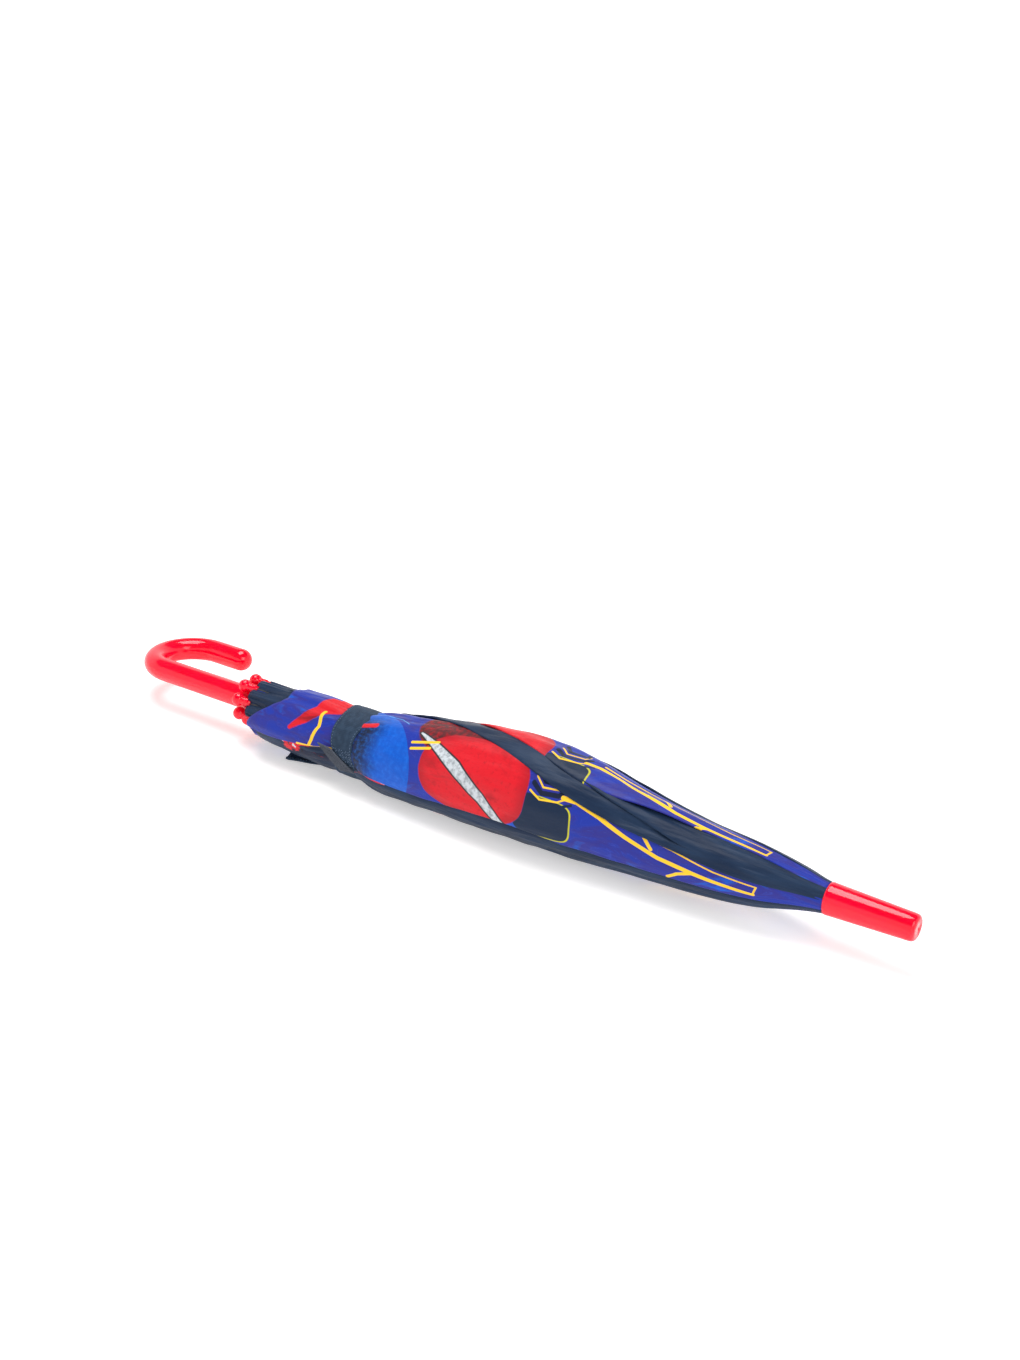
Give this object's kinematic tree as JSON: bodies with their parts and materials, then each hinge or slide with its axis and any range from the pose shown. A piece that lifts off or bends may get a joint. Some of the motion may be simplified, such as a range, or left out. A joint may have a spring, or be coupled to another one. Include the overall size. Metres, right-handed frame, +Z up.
{
  "type": "stick umbrella",
  "caption": "Child's furled stick umbrella: hooked plastic handle, steel shaft, folding rib frame with a sliding runner, cloth gores, strap and tapered end cap.",
  "frame": {"origin": "on the table plane, under the middle of the closed umbrella's box", "axes": "+X along the shaft towards the end cap, +Z up, the bend of the handle towards +Y"},
  "size_m": [0.6072, 0.0914, 0.0636],
  "materials": {
    "red_plastic": "glossy injection moulded, slightly translucent red",
    "black_plastic": "satin black moulding",
    "bright_steel": "bright plated steel",
    "dark_steel": "thin black paint on steel wire",
    "printed_cloth": null,
    "navy_cloth": "plain navy polyester",
    "navy_webbing": "woven navy strap with stitched edges",
    "grey_hook_tape": "ribbed dark grey hook-and-loop tape"
  },
  "bodies": {
    "stick": {"crook_handle": "red_plastic", "shaft_tube": "bright_steel", "stop_pin": "bright_steel", "end_cap": "red_plastic", "canopy_crown_disc": "navy_cloth", "top_notch": "black_plastic", "notch_wire": "bright_steel"},
    "rib_1": {"rib_1": "dark_steel", "ball_tip_1": "red_plastic"},
    "stretcher_1": {"stretcher_1": "dark_steel"},
    "gore_1": {"gore_1": "printed_cloth"},
    "rib_2": {"rib_2": "dark_steel", "ball_tip_2": "red_plastic"},
    "stretcher_2": {"stretcher_2": "dark_steel"},
    "gore_2": {"gore_2": "navy_cloth"},
    "rib_3": {"rib_3": "dark_steel", "ball_tip_3": "red_plastic"},
    "stretcher_3": {"stretcher_3": "dark_steel"},
    "gore_3": {"gore_3": "printed_cloth"},
    "rib_4": {"rib_4": "dark_steel", "ball_tip_4": "red_plastic"},
    "stretcher_4": {"stretcher_4": "dark_steel"},
    "gore_4": {"gore_4": "navy_cloth", "strap_loop": "navy_webbing", "strap_tail": "navy_webbing"},
    "rib_5": {"rib_5": "dark_steel", "ball_tip_5": "red_plastic"},
    "stretcher_5": {"stretcher_5": "dark_steel"},
    "gore_5": {"gore_5": "printed_cloth"},
    "rib_6": {"rib_6": "dark_steel", "ball_tip_6": "red_plastic"},
    "stretcher_6": {"stretcher_6": "dark_steel"},
    "gore_6": {"gore_6": "navy_cloth"},
    "rib_7": {"rib_7": "dark_steel", "ball_tip_7": "red_plastic"},
    "stretcher_7": {"stretcher_7": "dark_steel"},
    "gore_7": {"gore_7": "printed_cloth"},
    "rib_8": {"rib_8": "dark_steel", "ball_tip_8": "red_plastic"},
    "stretcher_8": {"stretcher_8": "dark_steel"},
    "gore_8": {"gore_8": "navy_cloth"},
    "runner": {"runner": "black_plastic", "runner_wire": "bright_steel"},
    "top_catch": {"top_catch": "bright_steel"},
    "bottom_catch": {"bottom_catch": "bright_steel"},
    "strap_tab": {"strap_tab": "grey_hook_tape"}
  },
  "joints": [
    {"name": "canopy_open", "type": "hinge", "parent": "stick", "child": "rib_1", "pos_m": [0.24563, -0.0074, 0.02987], "axis": [0, 0.3827, -0.9239], "range_deg": [0, 66], "deforming": ["strap_loop", "strap_tail"]},
    {"name": "rib_2_pivot", "type": "hinge", "parent": "stick", "child": "rib_2", "pos_m": [0.24563, -0.01145, 0.03393], "axis": [0, 0.9239, -0.3827], "range_deg": [-0.5, 66.5]},
    {"name": "rib_3_pivot", "type": "hinge", "parent": "stick", "child": "rib_3", "pos_m": [0.24563, -0.01719, 0.03393], "axis": [0, 0.9239, 0.3827], "range_deg": [-0.5, 66.5]},
    {"name": "rib_4_pivot", "type": "hinge", "parent": "stick", "child": "rib_4", "pos_m": [0.24563, -0.02125, 0.02987], "axis": [0, 0.3827, 0.9239], "range_deg": [-0.5, 66.5]},
    {"name": "rib_5_pivot", "type": "hinge", "parent": "stick", "child": "rib_5", "pos_m": [0.24563, -0.02125, 0.02413], "axis": [0, -0.3827, 0.9239], "range_deg": [-0.5, 66.5]},
    {"name": "rib_6_pivot", "type": "hinge", "parent": "stick", "child": "rib_6", "pos_m": [0.24563, -0.01719, 0.02007], "axis": [0, -0.9239, 0.3827], "range_deg": [-0.5, 66.5]},
    {"name": "rib_7_pivot", "type": "hinge", "parent": "stick", "child": "rib_7", "pos_m": [0.24563, -0.01145, 0.02007], "axis": [0, -0.9239, -0.3827], "range_deg": [-0.5, 66.5]},
    {"name": "rib_8_pivot", "type": "hinge", "parent": "stick", "child": "rib_8", "pos_m": [0.24563, -0.0074, 0.02413], "axis": [0, -0.3827, -0.9239], "range_deg": [-0.5, 66.5]},
    {"name": "stretcher_1_pivot", "type": "hinge", "parent": "rib_1", "child": "stretcher_1", "pos_m": [0.08094, 0.00206, 0.03379], "axis": [0, 0.3827, -0.9239], "range_deg": [-133, 1]},
    {"name": "stretcher_2_pivot", "type": "hinge", "parent": "rib_2", "child": "stretcher_2", "pos_m": [0.08094, -0.00754, 0.04339], "axis": [0, 0.9239, -0.3827], "range_deg": [-133, 1]},
    {"name": "stretcher_3_pivot", "type": "hinge", "parent": "rib_3", "child": "stretcher_3", "pos_m": [0.08094, -0.02111, 0.04339], "axis": [0, 0.9239, 0.3827], "range_deg": [-133, 1]},
    {"name": "stretcher_4_pivot", "type": "hinge", "parent": "rib_4", "child": "stretcher_4", "pos_m": [0.08094, -0.03071, 0.03379], "axis": [0, 0.3827, 0.9239], "range_deg": [-133, 1]},
    {"name": "stretcher_5_pivot", "type": "hinge", "parent": "rib_5", "child": "stretcher_5", "pos_m": [0.08094, -0.03071, 0.02021], "axis": [0, -0.3827, 0.9239], "range_deg": [-133, 1]},
    {"name": "stretcher_6_pivot", "type": "hinge", "parent": "rib_6", "child": "stretcher_6", "pos_m": [0.08094, -0.02111, 0.01061], "axis": [0, -0.9239, 0.3827], "range_deg": [-133, 1]},
    {"name": "stretcher_7_pivot", "type": "hinge", "parent": "rib_7", "child": "stretcher_7", "pos_m": [0.08094, -0.00754, 0.01061], "axis": [0, -0.9239, -0.3827], "range_deg": [-133, 1]},
    {"name": "stretcher_8_pivot", "type": "hinge", "parent": "rib_8", "child": "stretcher_8", "pos_m": [0.08094, 0.00206, 0.02021], "axis": [0, -0.3827, -0.9239], "range_deg": [-133, 1]},
    {"name": "runner_pivot", "type": "hinge", "parent": "stretcher_1", "child": "runner", "pos_m": [-0.08374, -0.0074, 0.02987], "axis": [0, 0.3827, -0.9239], "range_deg": [-1, 67]},
    {"name": "gore_1_spread", "type": "hinge", "parent": "rib_1", "child": "gore_1", "pos_m": [0.24921, -0.0128, 0.02852], "axis": [-0.5145, 0.6063, 0.6063], "range_deg": [-1, 49.12]},
    {"name": "gore_2_spread", "type": "hinge", "parent": "rib_2", "child": "gore_2", "pos_m": [0.24921, -0.01432, 0.02915], "axis": [-0.5145, 0, 0.8575], "range_deg": [-1, 49.12]},
    {"name": "gore_3_spread", "type": "hinge", "parent": "rib_3", "child": "gore_3", "pos_m": [0.24921, -0.01584, 0.02852], "axis": [-0.5145, -0.6063, 0.6063], "range_deg": [-1, 49.12]},
    {"name": "gore_4_spread", "type": "hinge", "parent": "rib_4", "child": "gore_4", "pos_m": [0.24921, -0.01647, 0.027], "axis": [-0.5145, -0.8575, 0], "range_deg": [-1, 49.12]},
    {"name": "gore_5_spread", "type": "hinge", "parent": "rib_5", "child": "gore_5", "pos_m": [0.24921, -0.01584, 0.02548], "axis": [-0.5145, -0.6063, -0.6063], "range_deg": [-1, 49.12]},
    {"name": "gore_6_spread", "type": "hinge", "parent": "rib_6", "child": "gore_6", "pos_m": [0.24921, -0.01432, 0.02485], "axis": [-0.5145, 0, -0.8575], "range_deg": [-1, 49.12]},
    {"name": "gore_7_spread", "type": "hinge", "parent": "rib_7", "child": "gore_7", "pos_m": [0.24921, -0.0128, 0.02548], "axis": [-0.5145, 0.6063, -0.6063], "range_deg": [-1, 49.12]},
    {"name": "gore_8_spread", "type": "hinge", "parent": "rib_8", "child": "gore_8", "pos_m": [0.24921, -0.01218, 0.027], "axis": [-0.5145, 0.8575, 0], "range_deg": [-1, 49.12]},
    {"name": "top_catch_press", "type": "hinge", "parent": "stick", "child": "top_catch", "pos_m": [0.06477, -0.01432, 0.027], "axis": [0, 1, 0], "range_deg": [0, 6], "stiffness_Nm_per_rad": 0.05},
    {"name": "bottom_catch_press", "type": "hinge", "parent": "stick", "child": "bottom_catch", "pos_m": [-0.09274, -0.01432, 0.027], "axis": [0, -1, 0], "range_deg": [0, 6], "stiffness_Nm_per_rad": 0.05},
    {"name": "strap_tab_peel", "type": "hinge", "parent": "gore_4", "child": "strap_tab", "pos_m": [-0.08671, -0.04208, 0.03067], "axis": [-1, 0, 0], "range_deg": [0, 60]}
  ],
  "couplings": [
    {"joint": "rib_2_pivot", "follows": "canopy_open", "ratio": 1},
    {"joint": "rib_3_pivot", "follows": "canopy_open", "ratio": 1},
    {"joint": "rib_4_pivot", "follows": "canopy_open", "ratio": 1},
    {"joint": "rib_5_pivot", "follows": "canopy_open", "ratio": 1},
    {"joint": "rib_6_pivot", "follows": "canopy_open", "ratio": 1},
    {"joint": "rib_7_pivot", "follows": "canopy_open", "ratio": 1},
    {"joint": "rib_8_pivot", "follows": "canopy_open", "ratio": 1},
    {"joint": "stretcher_1_pivot", "follows": "canopy_open", "ratio": -2},
    {"joint": "stretcher_2_pivot", "follows": "canopy_open", "ratio": -2},
    {"joint": "stretcher_3_pivot", "follows": "canopy_open", "ratio": -2},
    {"joint": "stretcher_4_pivot", "follows": "canopy_open", "ratio": -2},
    {"joint": "stretcher_5_pivot", "follows": "canopy_open", "ratio": -2},
    {"joint": "stretcher_6_pivot", "follows": "canopy_open", "ratio": -2},
    {"joint": "stretcher_7_pivot", "follows": "canopy_open", "ratio": -2},
    {"joint": "stretcher_8_pivot", "follows": "canopy_open", "ratio": -2},
    {"joint": "runner_pivot", "follows": "canopy_open", "ratio": 1},
    {"joint": "gore_1_spread", "follows": "canopy_open", "ratio": 0.72909},
    {"joint": "gore_2_spread", "follows": "canopy_open", "ratio": 0.72909},
    {"joint": "gore_3_spread", "follows": "canopy_open", "ratio": 0.72909},
    {"joint": "gore_4_spread", "follows": "canopy_open", "ratio": 0.72909},
    {"joint": "gore_5_spread", "follows": "canopy_open", "ratio": 0.72909},
    {"joint": "gore_6_spread", "follows": "canopy_open", "ratio": 0.72909},
    {"joint": "gore_7_spread", "follows": "canopy_open", "ratio": 0.72909},
    {"joint": "gore_8_spread", "follows": "canopy_open", "ratio": 0.72909}
  ]
}
